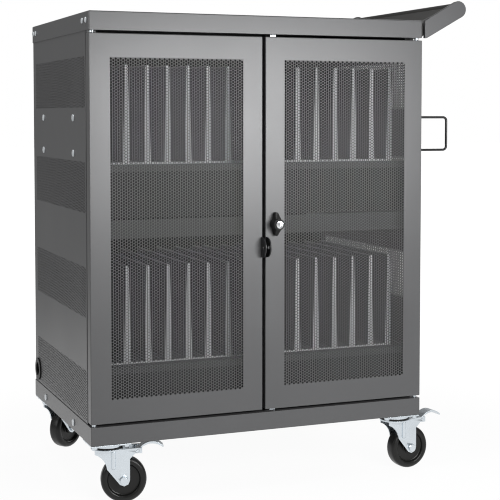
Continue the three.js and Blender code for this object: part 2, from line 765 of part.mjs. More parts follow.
// Fork: a round crown with two cheeks that narrow to the axle and reach back over the wheel
function casterFork() {
  const eyeFront = casterTrail - forkEye * Math.cos(Math.PI / 4);
  const eyeBack = casterTrail + forkEye;
  const eyeLow = wheelRadius - forkEye * Math.sin(Math.PI / 4);
  const cheekLow = crownTop - forkCheek;
  const outline = [
    [crownTop, -forkNose],
    [cheekLow, -forkNose],
    [eyeLow, eyeFront],
    [wheelRadius - forkEye, casterTrail],
    [eyeLow, casterTrail - eyeFront + casterTrail],
    [wheelRadius, eyeBack],
    [cheekLow - forkCheek, eyeBack],
    [cheekLow, eyeBack + forkCheek],
    [cheekLow, forkTail],
    [crownTop, forkTail],
  ];
  let fork = block(-forkNose, forkCrownTail, -legOuter, legOuter, crownBottom, crownTop);
  fork = fork.add(cylinder(crownRadius, "z", onKingpin, crownBottom, crownTop, ringSides));
  fork = fork.add(pulled(outline, "y", legInner, legOuter));
  fork = fork.add(pulled(outline, "y", -legOuter, -legInner));
  fork = fork.subtract(cylinder(axleRadius + seat, "y", onAxle, -2 * legOuter, 2 * legOuter));
  fork = fork.subtract(cylinder(pedalPinRadius + running, "y", onPedalPin, -2 * legOuter, 2 * legOuter));
  return fork.subtract(cylinder(kingpinRadius + running, "z", onKingpin, crownBottom - seat, crownTop + seat));
}

function casterWheel() {
  const tread = wheelWidth / 2;
  const web = wheelWebWidth / 2;
  const bore = axleRadius + running;
  const halfProfile = [
    [bore, hubHalf],
    [hubRadius, hubHalf],
    [hubRadius, web],
    [wheelRimInner, web],
    [wheelRimInner + hubProud, tread],
    [wheelRadius - wheelEdge, tread],
    [wheelRadius, tread - wheelEdge],
  ];
  const otherHalf = halfProfile.map(([radius, place]) => [radius, -place]);
  const loop = [...otherHalf, ...halfProfile.reverse(), otherHalf[0]];
  return turned(loop, "y", onAxle, wheelSides);
}

function casterAxle() {
  const faceGap = legOuter + seat;
  const profile = [
    [0, -faceGap - axleHeadHeight],
    [axleHeadRadius, -faceGap - axleHeadHeight],
    [axleHeadRadius, -faceGap],
    [axleRadius, -faceGap],
    [axleRadius, faceGap],
    [axleHeadRadius, faceGap],
    [axleHeadRadius, faceGap + axleHeadHeight],
    [0, faceGap + axleHeadHeight],
  ];
  return turned(profile, "y", onAxle, pinSides);
}

// Brake pedal: a humped strip on a pin through the fork's cheeks
function brakePedal() {
  const shape = new THREE.Shape();
  const tip = pedalX + pedalLength;
  const humpX = pedalX + pedalLength / 2;
  const thin = pedalThickness / 2;
  shape.moveTo(pedalZ - thin, pedalX);
  shape.quadraticCurveTo(pedalZ + 2 * pedalHump - thin, humpX, pedalZ + pedalTipRise - thin, tip);
  shape.lineTo(pedalZ + pedalTipRise + thin, tip + thin);
  shape.quadraticCurveTo(pedalZ + 2 * pedalHump + 2 * pedalThickness, humpX, pedalZ + thin, pedalX);
  const half = pedalWidth / 2;
  const pinEnd = legOuter + seat;
  return pulled(shape, "y", -half, half)
    .add(cylinder(pedalBossRadius, "y", onPedalPin, -half, half))
    .add(cylinder(pedalPinRadius, "y", onPedalPin, -pinEnd, pinEnd));
}

// Places of the casters, the way each fork points at rest, and which have a brake
const frontY = casterInsetY;
const rearY = cabinetDepth - casterInsetY;
const rightX = cabinetWidth - casterInsetX;
const degrees = THREE.MathUtils.degToRad;
const casters = {
  front_left: { x: casterInsetX, y: frontY, turn: degrees(-12), brake: true },
  front_right: { x: rightX, y: frontY, turn: degrees(6), brake: true },
  rear_left: { x: casterInsetX, y: rearY, turn: degrees(36), brake: false },
  rear_right: { x: rightX, y: rearY, turn: degrees(20), brake: false },
};
for (const [place, { x, y, turn, brake }] of Object.entries(casters)) {
  const mount = new THREE.Group();
  mount.position.set(x, y, 0);
  const swivel = new THREE.Group();
  swivel.rotation.z = turn;
  piece(`${place}_caster_plate`, casterPlate(), zincSteel, mount);
  piece(`${place}_fork`, casterFork(), zincSteel, swivel);
  piece(`${place}_wheel`, casterWheel(), blackRubber, swivel);
  piece(`${place}_axle`, casterAxle(), zincSteel, swivel);
  if (brake) piece(`${place}_brake_pedal`, brakePedal(), zincSteel, swivel);
  mount.add(swivel);
  cart.add(mount);
}

// Origin at the middle of the underside of the cart's box
const bounds = new THREE.Box3().setFromObject(cart, true);
const middle = bounds.getCenter(new THREE.Vector3());
cart.position.set(-middle.x, -middle.y, -bounds.min.z);
const root = new THREE.Group();
root.add(cart);

export default root;
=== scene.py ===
# Looks of the charging cart, built round its CAD frame.
# Metres. X runs from the left side to the right, Y from the doors to the back, Z up from the floor.
import json
import math

import bmesh
import bpy
from mathutils import Matrix, Vector


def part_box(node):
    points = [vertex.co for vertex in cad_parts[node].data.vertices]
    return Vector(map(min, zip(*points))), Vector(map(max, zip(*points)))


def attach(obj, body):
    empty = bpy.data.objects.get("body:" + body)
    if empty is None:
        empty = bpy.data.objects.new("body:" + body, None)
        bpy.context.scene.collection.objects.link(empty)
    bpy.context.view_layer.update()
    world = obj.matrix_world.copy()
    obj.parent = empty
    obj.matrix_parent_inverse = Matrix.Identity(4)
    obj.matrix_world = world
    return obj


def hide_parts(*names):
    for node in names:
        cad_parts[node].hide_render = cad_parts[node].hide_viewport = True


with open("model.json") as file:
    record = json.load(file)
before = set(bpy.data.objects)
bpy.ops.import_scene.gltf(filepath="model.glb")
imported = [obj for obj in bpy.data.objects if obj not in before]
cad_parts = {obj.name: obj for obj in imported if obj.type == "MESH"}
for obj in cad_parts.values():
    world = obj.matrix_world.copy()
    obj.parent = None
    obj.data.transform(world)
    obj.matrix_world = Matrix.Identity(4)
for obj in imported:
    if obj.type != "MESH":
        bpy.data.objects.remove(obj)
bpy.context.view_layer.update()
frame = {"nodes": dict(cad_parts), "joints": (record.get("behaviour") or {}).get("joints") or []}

# Directions
LEFT, RIGHT = Vector((-1, 0, 0)), Vector((1, 0, 0))
FRONT, BACK = Vector((0, -1, 0)), Vector((0, 1, 0))
DOWN, UP = Vector((0, 0, -1)), Vector((0, 0, 1))

# Sheet metal
SHEET = 0.0015
FOLD = 0.0018
LID_FOLD = 0.0025
FOLD_STEPS = 3
DOOR_LIP = 0.0155
PANEL_SETBACK = 0.007
LEDGE_GAP = 0.001
STRIKE_GAP = 0.001
FASCIA_GAP = 0.004

# Soft edges, from sheet to moulded plastic
SOFT_EDGE = 0.0005
PEDAL_EDGE = 0.0006
PRESSED_EDGE = 0.0008
TRIM_EDGE = 0.0010
ROUND_EDGE = 0.0012
KNOB_EDGE = 0.0014
STRIP_EDGE = 0.0020
EDGE_STEPS = 2
ROUND_STEPS = 3

# Angles in degrees: from which an edge is bevelled or stays sharp, and up to which a face is flat
EDGE_ANGLE = 40
RIM_ANGLE = 60
BOLT_ANGLE = 30
FOLD_ANGLE = 30
SMOOTH_ANGLE = 35
FLAT_ANGLE = 1

# A face looks along a direction where the cosine between them is above this
LOOKS_ALONG = 0.9

# Sides of a plain rod
ROD_SIDES = 24

# Corners closer than this become one
WELD = 0.00001
CELL_WELD = 0.00002

# Perforation: round holes in columns, every other column half a pitch higher
COLUMN_PITCH = 0.0055
HOLE_PITCH = 0.00635
HOLE_INSET = COLUMN_PITCH / 5
DOOR_HOLE_RADIUS = 0.0027
DOOR_HOLE_SIDES = 8
DOOR_COLUMNS = 56
DOOR_ROWS = 117
DOOR_FIELD_INSET = 0.046
DOOR_FIELD_BOTTOM = 0.0985
VENT_HOLE_RADIUS = 0.0023
VENT_HOLE_SIDES = 6
VENT_COLUMNS = 88
VENT_ROWS = 18
VENT_START = 0.043
VENT_BOTTOMS = (0.045, 0.2725, 0.5025, 0.732)

# Fasteners
SCREW_RADIUS = 0.0080
SCREW_HEIGHT = 0.0030
SCREW_SIDES = 20
SCREW_ROUNDING = 0.6 * SCREW_HEIGHT
SIDE_SCREWS_Y = (0.145, 0.441)
SIDE_SCREWS_Z = (0.632, 0.711)
SKIRT_SCREWS_Y = (0.155, 0.434)
SKIRT_SCREW_Z = 0.019
RIVET_RADIUS = 0.0062
LID_RIVETS_Y = (0.021, 0.051, 0.516, 0.542)
LID_RIVET_Z = 0.921
BACK_SCREW_COUNT = 6
BACK_SCREW_INSET = 0.014
BOLT_RADIUS = 0.0065
BOLT_HEIGHT = 0.005
BOLT_SIDES = 6
BOLT_SPREAD_X = 0.036
BOLT_SPREAD_Y = 0.030

# Handle: groove along each arm and the flange beside it
GROOVE_RADIUS = 0.0044
GROOVE_LENGTH = 0.088
GROOVE_SIDES = 4
FLANGE_WIDTH = 0.050
FLANGE_GAP = 0.008
FLANGE_HEIGHT = 0.0065

# Lock
WING_ROOT = 0.018
WING_TAPER = (0.65, 0.6, 1)
KEYWAY_WIDTH = 0.0014
KEYWAY_HEIGHT = 0.0085
KEYWAY_DEPTH = 0.003

# Power strips
SOCKETS = 9
SOCKET_START = 0.045
SOCKET_PITCH = 0.058
BLADE_SPREAD = 0.00635
BLADE_HALF = Vector((0.0009, 0.0036, 0.010))
EARTH_BACK = 0.0115
EARTH_RADIUS = 0.0025

# Cord bails
BAIL_WIRE_RADIUS = 0.003
BAIL_CORNER = 0.009
BEND_STEPS = 6
WIRE_STEPS = 4

# Cable grommet
GROMMET_BODY_RADIUS = 0.0233
GROMMET_SIDES = 32

# Casters
PLATE_THICKNESS = 0.003
SEAL_GAP = 0.001
SEAL_RADIUS = 0.0350
SEAL_HEIGHT = 0.0035
SEAL_SIDES = 48
FORK_NOSE = 0.028
FORK_CHEEK = 0.012
FORK_EYE = 0.0092
WAIST_RADIUS = 0.040
WAIST_DEPTH = 0.0065
WAIST_ALONG = 0.021
WAIST_SIDES = 64
RIB_TRAIL = 0.013
RIB_OUT = 0.0205
RIB_RADIUS = 0.0045
RIB_ROUNDING = 0.8 * RIB_RADIUS
RIB_STEPS = 4
RIB_TOP = 0.004
RIB_BOTTOM = 0.046
WHEEL_STEPS = 64
WHEEL_PROFILE = (
    (0.0063, 0.0170),
    (0.0140, 0.0170),
    (0.0150, 0.0160),
    (0.0150, 0.0092),
    (0.0170, 0.0080),
    (0.0320, 0.0080),
    (0.0345, 0.0096),
    (0.0358, 0.0134),
    (0.0378, 0.0153),
    (0.0415, 0.0160),
    (0.0452, 0.0154),
    (0.0482, 0.0135),
    (0.0502, 0.0103),
    (0.0508, 0.0062),
    (0.0508, 0.0000),
)
WHEELS = ("front_left", "front_right", "rear_left", "rear_right")
BRAKED = ("front_left", "front_right")

# Finishes: one for each slot, then those of pieces that differ from their slot
GRAPHITE = (0.110, 0.111, 0.114)
GRAIN_SCALE = 1100
GRAIN_DETAIL = 2
CLOUD_DETAIL = 3
COAT_GRAIN = 0.00004
MOULD_GRAIN = 0.00003
# Painted shade: faces whose cosine to the lit direction is this or more keep their full colour, less below
TURNED_AWAY = 0.5
GRAPHITE_SHEET = {"colour": GRAPHITE, "metallic": 0.15, "scale": 5, "grain": COAT_GRAIN}
# Darker copies of the graphite sheet for the sheets inside the cabinet: painted shade
INNER_SHADED_SHEET = {"roughness": 0.6, "scale": 5, "grain": COAT_GRAIN, "shine": 0.15}
FINISH_VALUES = {
    "graphite_coat": {**GRAPHITE_SHEET, "roughness": 0.37},
    "dark_coat": {
        "colour": (0.026, 0.025, 0.023),
        "roughness": 0.55,
        "metallic": 0.1,
        "drift": 0.12,
        "scale": 9,
        "grain": COAT_GRAIN,
    },
    "black_coat": {"colour": (0.012, 0.012, 0.013), "roughness": 0.40, "drift": 0.15, "scale": 30},
    # Racks: pale plastic with painted shade, darker on every face that doesn't look to the front
    "pale_plastic": {
        "colour": (0.66, 0.67, 0.68),
        "roughness": 0.45,
        "drift": 0.08,
        "scale": 12,
        "grain": MOULD_GRAIN,
        "shine": 0.15,
        "lit_facing": FRONT,
        "share": 0.12,
    },
    "black_plastic": {
        "colour": (0.010, 0.010, 0.010),
        "roughness": 0.42,
        "drift": 0.15,
        "scale": 40,
        "shine": 0.2,
    },
    "zinc": {"colour": (0.66, 0.71, 0.75), "roughness": 0.24, "metallic": 0.80, "scale": 40},
    "chrome": {"colour": (0.86, 0.87, 0.88), "roughness": 0.12, "metallic": 1, "drift": 0.05, "scale": 90},
    "wheel_rubber": {
        "colour": (0.010, 0.010, 0.0095),
        "roughness": 0.33,
        "drift": 0.15,
        "scale": 45,
        "shine": 0.3,
    },
    # Back panel: graphite with painted shade on every face but the outer back one
    "back_shaded_coat": {**GRAPHITE_SHEET, "roughness": 0.5, "shine": 0.3, "lit_facing": BACK, "share": 0.1},
    # Door fields: the graphite sheet with less sheen and a lighter colour, painted light that evens out
    # how bright the punched sheet shows
    "field_coat": {"colour": (0.130, 0.131, 0.133), "roughness": 0.42, "scale": 5, "shine": 0.22},
    # Right side panel: graphite with painted shade on every face but the outer right one
    "right_shaded_coat": {**GRAPHITE_SHEET, "roughness": 0.37, "lit_facing": RIGHT, "share": 0.1},
    # Middle tray and shelves: painted shade, less dark
    "ledge_shaded_coat": {**INNER_SHADED_SHEET, "colour": (0.085, 0.086, 0.088)},
    # Fascias: painted shade, darkest, deep in the cabinet
    "inner_shaded_coat": {**INNER_SHADED_SHEET, "colour": (0.045, 0.045, 0.046)},
    # Screw and rivet heads: a lighter, barely metallic copy of the zinc, a painted glint
    "glint_zinc": {"colour": (0.78, 0.82, 0.85), "roughness": 0.35, "metallic": 0.2, "scale": 40},
}

# Floor and backdrop
WHITE = (1, 1, 1, 1)
FLOOR_GREY = (0.45, 0.45, 0.45, 1)
FLOOR_SIZE = 60
FLOOR_GLOW = 1.08
SHADOW_SHARE = 0.12
SHADOW_FADE = (0.7, 2.2)
MIRRORED_CENTRE = (-0.8, -0.5, 0)
MIRRORED_FADE = (1.0, 3.4)
SKY_DIFFUSE = 0.10
SKY_GLOSSY = 0.27

# Lamps: place, point that it looks at, width and height, power
LAMPS = {
    "front_light": ((0.38, -1.8, 0.86), (-0.1, -0.27, 0.86), (1.1, 0.55), 27),
    "left_light": ((-2.6, -0.4, 1.2), (-0.47, 0.0, 0.6), (1.4, 1.0), 15),
    "top_light": ((-0.9, -0.5, 2.6), (0.3, 0.0, 1.0), (0.8, 0.8), 14),
    "right_back_light": ((2.0, 1.4, 2.0), (0.2, 0.1, 0.6), (1.4, 1.4), 25),
}

# Camera, from the perspective of the photograph
PHOTO_WIDTH = 500
FOCAL_PIXELS = 1273
OPTICAL_ROW = 181.8
OPTICAL_SHIFT = 0.9
CAMERA_YAW = 21.82
CAMERA_PITCH = 3
CAMERA_FROM_CORNER = Vector((-0.6937, -2.6508, 0.7172))
SENSOR = 36
PIXEL_FILTER = 1.1


class Shade:
    """A shader value: it makes further nodes from itself, and combines with plain arithmetic."""

    def __init__(self, tree, socket=None):
        self.tree = tree
        self.socket = socket

    def node(self, kind, output, inputs=None, **settings):
        made = self.tree.nodes.new("ShaderNode" + kind)
        for name, value in settings.items():
            setattr(made, name, value)
        for name, value in (inputs or {}).items():
            if isinstance(value, Shade):
                self.tree.links.new(value.socket, made.inputs[name])
            else:
                made.inputs[name].default_value = value
        return Shade(self.tree, None if output is None else made.outputs[output])

    def maths(self, operation, first, second):
        return self.node("Math", 0, {0: first, 1: second}, operation=operation)

    def __add__(self, other):
        return self.maths("ADD", self, other)

    def __radd__(self, other):
        return self.maths("ADD", other, self)

    def __sub__(self, other):
        return self.maths("SUBTRACT", self, other)

    def __rsub__(self, other):
        return self.maths("SUBTRACT", other, self)

    def __mul__(self, other):
        return self.maths("MULTIPLY", self, other)

    def __rmul__(self, other):
        return self.maths("MULTIPLY", other, self)

    def larger(self, other):
        return self.maths("MAXIMUM", self, other)

    def along(self, direction):
        return self.node("VectorMath", "Value", {0: self, 1: direction}, operation="DOT_PRODUCT")

    def distance(self, place):
        return self.node("VectorMath", "Value", {0: self, 1: place}, operation="DISTANCE")

    def ranged(self, start, end, low, high):
        limits = {"From Min": start, "From Max": end, "To Min": low, "To Max": high}
        return self.node("MapRange", 0, {"Value": self, **limits})

    def noise(self, scale, detail):
        return self.node("TexNoise", 0, {"Vector": self, "Scale": scale, "Detail": detail})

    def tint(self, colour):
        return self.node("VectorMath", 0, {0: colour, "Scale": self}, operation="SCALE")


# Empty node tree of a material or world, to start a shader in
def new_tree(owner):
    owner.use_nodes = True
    owner.node_tree.nodes.clear()
    return Shade(owner.node_tree)


# A coated, moulded or plated surface: colour that drifts a little, a fine grain,
# and painted shade: less colour on faces that look away from a lit direction
def surface(
    name, colour, roughness, scale, metallic=0, drift=0.1, grain=0, shine=0.5, lit_facing=None, share=1
):
    material = bpy.data.materials.new(name)
    start = new_tree(material)
    place = start.node("TexCoord", "Object")
    cloud = place.noise(scale, CLOUD_DETAIL) - 0.5
    depth = 1 + cloud * drift
    # Painted shade: faces turned away from the lit direction keep only share of the colour
    if lit_facing is not None:
        normal = start.node("NewGeometry", "Normal")
        depth = depth * normal.along(lit_facing).ranged(0, TURNED_AWAY, share, 1)
    inputs = {
        "Base Color": depth.tint(colour),
        "Roughness": roughness + cloud * drift,
        "Metallic": metallic,
        "Specular IOR Level": shine,
    }
    if grain:
        height = place.noise(GRAIN_SCALE, GRAIN_DETAIL)
        inputs["Normal"] = start.node("Bump", 0, {"Strength": 1, "Distance": grain, "Height": height})
    start.node("OutputMaterial", None, {"Surface": start.node("BsdfPrincipled", 0, inputs)})
    return material


FINISHES = {name: surface(name, **values) for name, values in FINISH_VALUES.items()}


# Modelling steps
def activate(item):
    bpy.ops.object.select_all(action="DESELECT")
    item.select_set(True)
    bpy.context.view_layer.objects.active = item


def start_edit(item, kind):
    activate(item)
    bpy.ops.object.mode_set(mode="EDIT")
    bpy.ops.mesh.select_mode(type=kind)
    bpy.ops.mesh.select_all(action="DESELECT")


def end_edit():
    bpy.ops.object.mode_set(mode="OBJECT")


def pick_faces(item, test):
    mesh = bmesh.from_edit_mesh(item.data)
    for face in mesh.faces:
        face.select_set(test(face))
    bmesh.update_edit_mesh(item.data)


def pick_edges(item, test):
    bpy.ops.mesh.select_mode(type="EDGE")
    mesh = bmesh.from_edit_mesh(item.data)
    for edge in mesh.edges:
        edge.select_set(test(edge))
    bmesh.update_edit_mesh(item.data)


def pick_points(item, test):
    bpy.ops.mesh.select_mode(type="VERT")
    mesh = bmesh.from_edit_mesh(item.data)
    for point in mesh.verts:
        point.select_set(test(point))
    bmesh.update_edit_mesh(item.data)


def modify(item, kind, **settings):
    modifier = item.modifiers.new(kind.title(), kind)
    for name, value in settings.items():
        setattr(modifier, name, value)
    activate(item)
    bpy.ops.object.modifier_apply(modifier=modifier.name)


def smooth(item):
    activate(item)
    bpy.ops.object.shade_smooth_by_angle(angle=math.radians(SMOOTH_ANGLE))
    modify(item, "WEIGHTED_NORMAL", keep_sharp=True)


def apply_place(item):
    activate(item)
    bpy.ops.object.transform_apply(location=True, rotation=True, scale=True)


def duplicate(item):
    activate(item)
    bpy.ops.object.duplicate()
    return bpy.context.object


def discard(*items):
    for item in items:
        bpy.data.objects.remove(item)


def join(items):
    activate(items[0])
    for item in items:
        item.select_set(True)
    bpy.ops.object.join()
    return bpy.context.object


# Placings: moved without a turn, laid from Z along an axis, and a flat sheet stood upright
# with its lower left corner at a place
def moved(place):
    return Matrix.Translation(place)


def laid(place, axis):
    return Matrix.Translation(place) @ axis.to_track_quat("Z", "Y").to_matrix().to_4x4()


def stood(place, across):
    turn = Matrix((across, UP, across.cross(UP))).transposed().to_4x4()
    return Matrix.Translation(place) @ turn


# Copy of a model that stands at the origin, with its own mesh
def copy_of(model, placing):
    item = duplicate(model)
    item.matrix_world = placing
    apply_place(item)
    return item


def box(low, high):
    low, high = Vector(low), Vector(high)
    bpy.ops.mesh.primitive_cube_add(size=1, location=(low + high) / 2)
    item = bpy.context.object
    item.scale = high - low
    apply_place(item)
    return item


def rod(radius, start, end, sides=ROD_SIDES):
    start, end = Vector(start), Vector(end)
    way = end - start
    bpy.ops.mesh.primitive_cylinder_add(radius=radius, depth=way.length, vertices=sides)
    item = bpy.context.object
    item.matrix_world = laid((start + end) / 2, way)
    apply_place(item)
    return item


def cut(item, cutter):
    modify(item, "BOOLEAN", object=cutter, operation="DIFFERENCE", solver="EXACT")
    discard(cutter)


def bevel(item, width, segments=EDGE_STEPS, angle=EDGE_ANGLE):
    settings = {"width": width, "segments": segments, "limit_method": "ANGLE"}
    modify(item, "BEVEL", angle_limit=math.radians(angle), **settings)


# Finished piece: named, coated and riding on its body in place of its CAD nodes
def settle(item, name, slot, body, *nodes, finish=None):
    item.name = name
    item.data.name = name
    item.data.materials.clear()
    item.data.materials.append(FINISHES[finish or slot])
    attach(item, body)
    if nodes:
        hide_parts(*nodes)
    return item


# Copy of a CAD node with clean faces and soft edges
def softened(node, slot, body, width=SOFT_EDGE, segments=EDGE_STEPS, finish=None):
    item = duplicate(frame["nodes"][node])
    item.parent = None
    for key in list(item.keys()):
        del item[key]
    start_edit(item, "VERT")
    bpy.ops.mesh.select_all(action="SELECT")
    bpy.ops.mesh.remove_doubles(threshold=WELD)
    bpy.ops.mesh.dissolve_limited(angle_limit=math.radians(FLAT_ANGLE))
    bpy.ops.mesh.normals_make_consistent(inside=False)
    end_edit()
    bevel(item, width, segments)
    smooth(item)
    return settle(item, f"{node}_look", slot, body, node, finish=finish)


# Sheet folded into a box that is open on one side, with round folds and a lip round the opening
def folded_box(low, high, opening, fold, lip=0):
    item = box(low, high)
    start_edit(item, "FACE")
    pick_faces(item, lambda face: face.normal.dot(opening) > LOOKS_ALONG)
    if lip:
        bpy.ops.mesh.inset(thickness=lip)
    bpy.ops.mesh.delete(type="FACE")
    folds_from = math.radians(FOLD_ANGLE)
    pick_edges(item, lambda edge: not edge.is_boundary and edge.calc_face_angle() > folds_from)
    bpy.ops.mesh.bevel(offset=fold, segments=FOLD_STEPS)
    end_edit()
    return item


# Rectangular opening in the faces of a sheet that look along a direction
def open_window(item, direction, low, high):
    across = [axis for axis in range(3) if direction[axis] == 0]
    start_edit(item, "FACE")
    for axis in across:
        normal = Vector((0, 0, 0))
        normal[axis] = 1
        for corner in (low, high):
            bpy.ops.mesh.select_all(action="SELECT")
            bpy.ops.mesh.bisect(plane_co=corner, plane_no=normal)

    def inside(face):
        middle = face.calc_center_median()
        within = all(low[axis] < middle[axis] < high[axis] for axis in across)
        return within and face.normal.dot(direction) > LOOKS_ALONG

    pick_faces(item, inside)
    bpy.ops.mesh.delete(type="FACE")
    end_edit()


def thicken(item):
    modify(item, "SOLIDIFY", thickness=SHEET, offset=-1)
    smooth(item)


# One cell of perforated sheet, from the origin up and right: its outline has the hole's number
# of corners, and the hole is the outline set in and rounded
def hole_cell(sides, radius):
    middle = Vector((COLUMN_PITCH / 2, HOLE_PITCH / 2, 0))
    bpy.ops.mesh.primitive_grid_add(x_subdivisions=2, y_subdivisions=2, size=1)
    item = bpy.context.object
    item.scale = (COLUMN_PITCH, HOLE_PITCH, 1)
    item.location = middle
    apply_place(item)
    start_edit(item, "FACE")
    bpy.ops.mesh.select_all(action="SELECT")
    bpy.ops.mesh.dissolve_faces()
    if sides == VENT_HOLE_SIDES:
        pick_points(item, lambda point: abs(point.co.x - middle.x) < COLUMN_PITCH / 4)
        bpy.ops.mesh.dissolve_verts()
        bpy.ops.mesh.select_mode(type="FACE")
    bpy.ops.mesh.select_all(action="SELECT")
    bpy.ops.mesh.inset(thickness=HOLE_INSET)
    bpy.ops.transform.tosphere(value=1)
    mesh = bmesh.from_edit_mesh(item.data)
    rim = [point for point in mesh.verts if point.select]
    reach = sum((point.co - middle).length for point in rim) / len(rim)
    growth = radius / reach
    bpy.ops.transform.resize(value=(growth, growth, 1), center_override=middle)
    bpy.ops.mesh.delete(type="FACE")
    end_edit()
    return item


# Half-height filler below a shifted column
def half_cell(sides):
    across = 2 if sides == DOOR_HOLE_SIDES else 1
    bpy.ops.mesh.primitive_grid_add(x_subdivisions=across, y_subdivisions=1, size=1)
    item = bpy.context.object
    item.scale = (COLUMN_PITCH, HOLE_PITCH / 2, 1)
    item.location = (COLUMN_PITCH * 1.5, HOLE_PITCH / 4, 0)
    apply_place(item)
    return item


def repeat(item, count, step):
    settings = {"use_relative_offset": False, "use_constant_offset": True, "use_merge_vertices": True}
    settings["constant_offset_displace"] = step
    modify(item, "ARRAY", count=count, merge_threshold=CELL_WELD, **settings)


# Flat perforated sheet, from the origin up and right
def perforated(columns, rows, sides, radius):
    straight = hole_cell(sides, radius)
    shifted = copy_of(straight, moved((COLUMN_PITCH, HOLE_PITCH / 2, 0)))
    repeat(straight, rows, (0, HOLE_PITCH, 0))
    repeat(shifted, rows - 1, (0, HOLE_PITCH, 0))
    below = half_cell(sides)
    above = copy_of(below, moved((0, (rows - 0.5) * HOLE_PITCH, 0)))
    item = join([straight, shifted, below, above])
    start_edit(item, "VERT")
    bpy.ops.mesh.select_all(action="SELECT")
    bpy.ops.mesh.remove_doubles(threshold=CELL_WELD)
    end_edit()
    repeat(item, columns // 2, (2 * COLUMN_PITCH, 0, 0))
    modify(item, "SOLIDIFY", thickness=SHEET, offset=-1)
    return item


# Round-headed screw or rivet and hexagon bolt, standing on the origin
def screw_head(radius):
    item = rod(radius, DOWN * SHEET / 2, UP * SCREW_HEIGHT, SCREW_SIDES)
    bevel(item, SCREW_ROUNDING, ROUND_STEPS, RIM_ANGLE)
    smooth(item)
    return item


def bolt_head():
    item = rod(BOLT_RADIUS, (0, 0, 0), UP * BOLT_HEIGHT, BOLT_SIDES)
    bevel(item, SOFT_EDGE, 1, BOLT_ANGLE)
    return item


# Edges from point to point, drawn by extruding one corner and left open for editing
def chain(points, closed=False):
    points = [Vector(point) for point in points]
    bpy.ops.mesh.primitive_plane_add(size=SHEET, location=points[0])
    item = bpy.context.object
    apply_place(item)
    start_edit(item, "VERT")
    bpy.ops.mesh.select_all(action="SELECT")
    bpy.ops.mesh.merge(type="CENTER")
    for start, end in zip(points, points[1:]):
        bpy.ops.mesh.extrude_region_move(TRANSFORM_OT_translate={"value": end - start})
    if closed:
        pick_points(item, lambda point: len(point.link_edges) == 1)
        bpy.ops.mesh.edge_face_add()
    bpy.ops.mesh.select_all(action="SELECT")
    return item


# Wire along a route of straight runs with round corners
def bent_wire(route, corner_radius, radius):
    chain(route)
    bpy.ops.mesh.bevel(offset=corner_radius, segments=BEND_STEPS, affect="VERTICES")
    end_edit()
    bpy.ops.object.convert(target="CURVE")
    item = bpy.context.object
    item.data.bevel_depth = radius
    item.data.bevel_resolution = WIRE_STEPS
    item.data.use_fill_caps = True
    bpy.ops.object.convert(target="MESH")
    item = bpy.context.object
    smooth(item)
    return item


# Round solid about Z, turned from half a profile of (radius, distance along the axis)
# that is the same on both sides
def turned(half_profile, steps):
    other_half = [(radius, -place) for radius, place in reversed(half_profile)]
    loop = [*half_profile, *other_half[1:]]
    item = chain([(radius, 0, place) for radius, place in loop], closed=True)
    bpy.ops.mesh.spin(steps=steps, angle=2 * math.pi, center=(0, 0, 0), axis=UP)
    bpy.ops.mesh.select_all(action="SELECT")
    bpy.ops.mesh.remove_doubles(threshold=WELD)
    bpy.ops.mesh.normals_make_consistent(inside=False)
    end_edit()
    smooth(item)
    return item


# Edges of the cabinet that places are measured from
lid_low, lid_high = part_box("lid")
base_low, base_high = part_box("base_tray")
panel_low, panel_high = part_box("left_side_panel")
right_panel_low, right_panel_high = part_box("right_side_panel")
corner = Vector((lid_low.x, lid_low.y, base_low.z))


# Ledge that carries the pivots, with a slot for the end of a lock bar
def ledge(low, high, bar):
    item = box(low, high)
    bar_low, bar_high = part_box(bar)
    slot_low = (bar_low.x - STRIKE_GAP, bar_low.y - STRIKE_GAP, low.z - SHEET)
    slot_high = (bar_high.x + STRIKE_GAP, bar_high.y + STRIKE_GAP, high.z + SHEET)
    cut(item, box(slot_low, slot_high))
    return item


# Lid and base tray: folded boxes, each with a ledge across the front of its opening
def tray(node, low, high, opening, fold, bar):
    item = folded_box(low, high, opening, fold)
    thicken(item)
    ledge_bottom = low.z if opening.z < 0 else high.z - SHEET
    ledge_low = Vector((low.x + SHEET, low.y + SHEET, ledge_bottom))
    ledge_high = Vector((high.x - SHEET, panel_low.y - LEDGE_GAP, ledge_bottom + SHEET))
    item = join([item, ledge(ledge_low, ledge_high, bar)])
    settle(item, f"{node}_look", "graphite_coat", "cabinet", node)


tray("lid", lid_low, lid_high, DOWN, LID_FOLD, "upper_lock_bar")
tray("base_tray", base_low, base_high, UP, FOLD, "lower_lock_bar")


# Cutter for the hole that the cable grommet sits in
def grommet_bore():
    low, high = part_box("cable_grommet")
    middle = (low + high) / 2
    ends = ((low.x - SHEET, middle.y, middle.z), (high.x + SHEET, middle.y, middle.z))
    return rod(GROMMET_BODY_RADIUS, *ends, GROMMET_SIDES)


